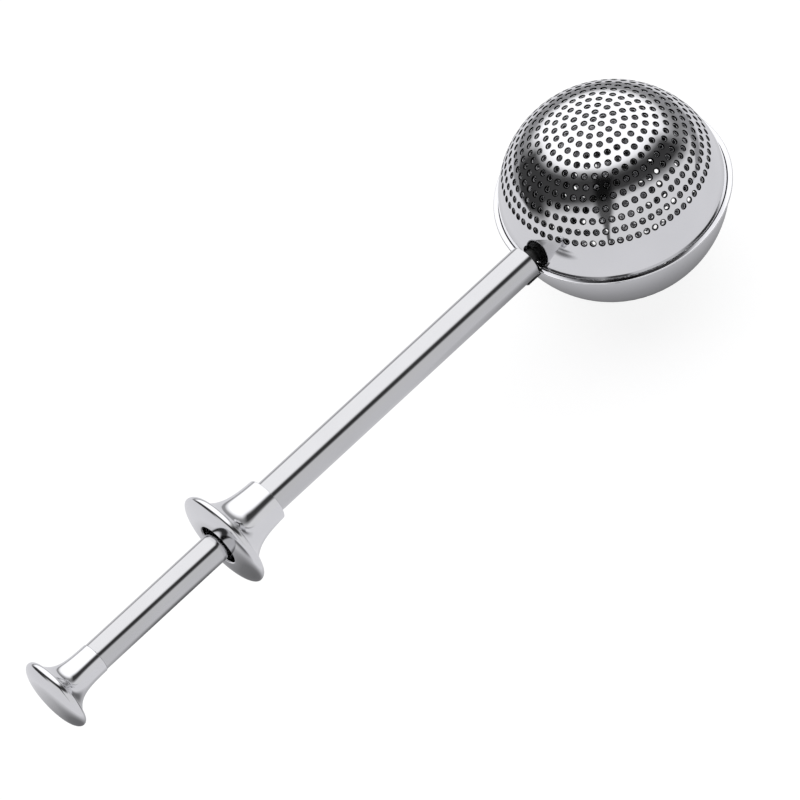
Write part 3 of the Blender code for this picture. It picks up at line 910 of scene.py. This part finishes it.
def make_world():
    """A light tent: bright overhead, with a dark gap between its roof and its light grey walls.

    Each list of greys runs with the angle in degrees from the roof's middle, on one side of the tent.
    """
    world = bpy.data.worlds.new("studio")
    bpy.context.scene.world = world
    world.use_nodes = True
    tree = world.node_tree
    background = tree.nodes["Background"]
    coords = node(tree, "ShaderNodeTexCoord")

    from_roof = degrees_from(tree, coords, ROOF_AZIMUTH, ROOF_ELEVATION)
    right = [(0.0, 1.0), (40.0, 1.0), (46.0, 0.8), (50.0, 0.35), (54.0, 0.07), (58.0, 0.03),
             (69.0, 0.04), (74.0, 0.25), (79.0, TENT_GREY), (180.0, TENT_GREY)]
    left = [(0.0, 1.0), (38.0, 1.0), (44.0, 0.8), (48.0, 0.35), (52.0, 0.07), (57.0, 0.035),
            (74.0, 0.045), (79.0, 0.25), (86.0, TENT_GREY), (180.0, TENT_GREY)]
    door = [(0.0, 1.0), (40.0, 1.0), (45.0, 0.8), (49.0, 0.35), (52.0, 0.07), (57.0, 0.03),
            (84.0, 0.03), (90.0, 0.3), (96.0, TENT_GREY), (180.0, TENT_GREY)]
    far = [(0.0, 1.0), (48.0, 1.0), (54.0, 0.7), (59.0, 0.32), (64.0, 0.2), (70.0, 0.22),
           (76.0, 0.45), (80.0, TENT_GREY), (180.0, TENT_GREY)]
    tent = grey_ramp(tree, from_roof, right)
    for azimuth, limits, stops in ((100.0, (0.1, 0.3), left), (78.0, (0.9, 0.96), door),
                                   (-20.0, (0.42, 0.62), far)):
        tent = blend(tree, coords, azimuth, limits, tent, grey_ramp(tree, from_roof, stops))
    sky = multiply(tree, tent, camera_stand(tree, coords))

    path = node(tree, "ShaderNodeLightPath")
    shown = node(tree, "ShaderNodeMix", data_type="RGBA")
    shown.inputs["B"].default_value = (SEEN_GREY, SEEN_GREY, SEEN_GREY, 1.0)
    tree.links.new(sky, shown.inputs["A"])
    tree.links.new(path.outputs["Is Camera Ray"], shown.inputs["Factor"])
    tree.links.new(shown.outputs["Result"], background.inputs["Color"])
    background.inputs["Strength"].default_value = WORLD_STRENGTH


def camera_stand(tree, coords):
    """The dark shape of the camera on its stand, as a factor of the sky: wide above, thin below.

    The half widths run with the height in the sky, from 0 straight below to 2 straight above. Both are
    parts of a sphere of radius 1.
    """
    aside = node(tree, "ShaderNodeMath", operation="ABSOLUTE")
    tree.links.new(dot(tree, coords, heading(STAND_AZIMUTH + 90.0)), aside.inputs[0])
    height = node(tree, "ShaderNodeMath", operation="ADD")
    height.inputs[1].default_value = 1.0
    tree.links.new(dot(tree, coords, Vector((0.0, 0.0, 1.0))), height.inputs[0])
    half_widths = [(0.0, 0.001), (0.9, 0.001), (0.96, 0.016), (1.19, 0.028), (1.36, 0.055),
                   (1.52, 0.12), (1.66, 0.16), (2.0, 0.16)]
    share = node(tree, "ShaderNodeMath", operation="DIVIDE")
    tree.links.new(aside.outputs[0], share.inputs[0])
    tree.links.new(grey_ramp(tree, height.outputs[0], half_widths), share.inputs[1])
    outside = span(tree, share.outputs[0], 0.0, 1.0, start=0.7, stop=1.3)
    facing = dot(tree, coords, heading(STAND_AZIMUTH))
    elsewhere = span(tree, facing, 1.0, 0.0, start=0.3, stop=0.4)
    either = node(tree, "ShaderNodeMath", operation="MAXIMUM")
    tree.links.new(outside, either.inputs[0])
    tree.links.new(elsewhere, either.inputs[1])
    return grey_ramp(tree, either.outputs[0], [(0.0, STAND_GREY), (1.0, 1.0)])


def floor_greys(tree, source, stops):
    """Greys over a distance on the floor; the stops are (millimetres, grey)."""
    return grey_ramp(tree, source, [(distance * MM, grey) for distance, grey in stops])


def floor_distance(tree, coords, station):
    """The distance on the floor from the point below a station of the handle's axis."""
    away = node(tree, "ShaderNodeVectorMath", operation="DISTANCE")
    away.inputs[1].default_value = (BALL_CENTRE.x + station, BALL_CENTRE.y, FLOOR_LEVEL)
    tree.links.new(coords.outputs["Object"], away.inputs[0])
    return away.outputs["Value"]


def mirrored_floor(tree, coords):
    """The floor's greys in the steel: painted shadows, darker below the ball, flange and button, and grey past the
    table's end.
    """
    # Painted shadows: greys over the distance from the points below the ball and below the flange and button
    ball_painted_shadow = [(0, 0.08), (8, 0.09), (12, 0.12), (22, 0.24), (36, 0.45), (55, TENT_GREY),
                  (100, TENT_GREY)]
    disc_painted_shadow = [(0, 0.2), (8, 0.24), (14, 0.45), (20, 0.75), (28, 1.0), (40, 1.0)]
    start = BALL_CENTRE.dot(heading(TABLE_AZIMUTH)) / MM
    table = [(0, 1.0), (start + 100, 1.0), (start + 135, 0.42), (start + 300, 0.42)]

    greys = floor_greys(tree, floor_distance(tree, coords, 0.0), ball_painted_shadow)
    for station in PAINTED_SHADOW_STATIONS:
        shade = floor_greys(tree, floor_distance(tree, coords, station), disc_painted_shadow)
        greys = multiply(tree, greys, shade)
    ahead = node(tree, "ShaderNodeVectorMath", operation="DOT_PRODUCT")
    ahead.inputs[1].default_value = heading(TABLE_AZIMUTH)
    tree.links.new(coords.outputs["Object"], ahead.inputs[0])
    return multiply(tree, greys, floor_greys(tree, ahead.outputs["Value"], table))


def make_floor():
    """A pale floor that is bright to the camera, and has greys of its own in the steel's mirror: painted shadows
    below the object.
    """
    mesh = bpy.data.meshes.new("floor")
    corners = ((-1, -1), (1, -1), (1, 1), (-1, 1))
    mesh.from_pydata([(FLOOR_HALF * x, FLOOR_HALF * y, FLOOR_LEVEL) for x, y in corners],
                     [], [(0, 1, 2, 3)])
    floor = bpy.data.objects.new("floor", mesh)
    bpy.context.scene.collection.objects.link(floor)
    material = bpy.data.materials.new("pale_floor")
    material.use_nodes = True
    tree = material.node_tree
    shader = tree.nodes["Principled BSDF"]
    shader.inputs["Base Color"].default_value = (FLOOR_COLOUR, FLOOR_COLOUR, FLOOR_COLOUR, 1.0)
    shader.inputs["Roughness"].default_value = 0.9
    shader.inputs["Emission Color"].default_value = (1.0, 1.0, 1.0, 1.0)
    shader.inputs["Emission Strength"].default_value = FLOOR_GLOW
    coords = node(tree, "ShaderNodeTexCoord")
    # Glossy rays see this emission: a painted reflection of the floor, with its painted shadows.
    mirrored = node(tree, "ShaderNodeEmission")
    mirrored.inputs["Strength"].default_value = WORLD_STRENGTH
    tree.links.new(mirrored_floor(tree, coords), mirrored.inputs["Color"])
    path = node(tree, "ShaderNodeLightPath")
    either = node(tree, "ShaderNodeMixShader")
    tree.links.new(path.outputs["Is Glossy Ray"], either.inputs["Fac"])
    tree.links.new(shader.outputs["BSDF"], either.inputs[1])
    tree.links.new(mirrored.outputs["Emission"], either.inputs[2])
    tree.links.new(either.outputs["Shader"], tree.nodes["Material Output"].inputs["Surface"])
    mesh.materials.append(material)


def make_camera():
    """A long lens that looks down at the object from one side, rolled so that the handle slants."""
    data = bpy.data.cameras.new("camera")
    data.lens = CAMERA_LENS
    data.sensor_width = 36.0
    data.clip_start = 0.01
    data.clip_end = 50.0
    camera = bpy.data.objects.new("camera", data)
    bpy.context.scene.collection.objects.link(camera)
    back = Vector((math.sin(CAMERA_AZIMUTH) * math.cos(CAMERA_ELEVATION),
                   -math.cos(CAMERA_AZIMUTH) * math.cos(CAMERA_ELEVATION),
                   math.sin(CAMERA_ELEVATION)))
    level = (-back).to_track_quat("-Z", "Y").to_matrix().to_4x4()
    camera.matrix_world = (Matrix.Translation(CAMERA_AIM + back * CAMERA_DISTANCE) @ level
                           @ Matrix.Rotation(CAMERA_ROLL, 4, "Z"))
    bpy.context.scene.camera = camera


def dress_cad_nodes():
    """Give the CAD nodes that stay visible the material of their slot."""
    slots = {part["node"]: part["material_slot"] for part in frame["record"]["subparts"]}
    for name, obj in frame["nodes"].items():
        material = MATERIALS[slots[name]]
        if not obj.material_slots:
            obj.data.materials.append(material)
        for place in obj.material_slots:
            place.material = material


make_camera()
make_world()
make_floor()
dress_cad_nodes()
make_dome()
make_bowl()
make_lip()
make_tubes()
make_flange()
make_button()
make_spring()
bpy.context.scene.view_settings.view_transform = "Standard"
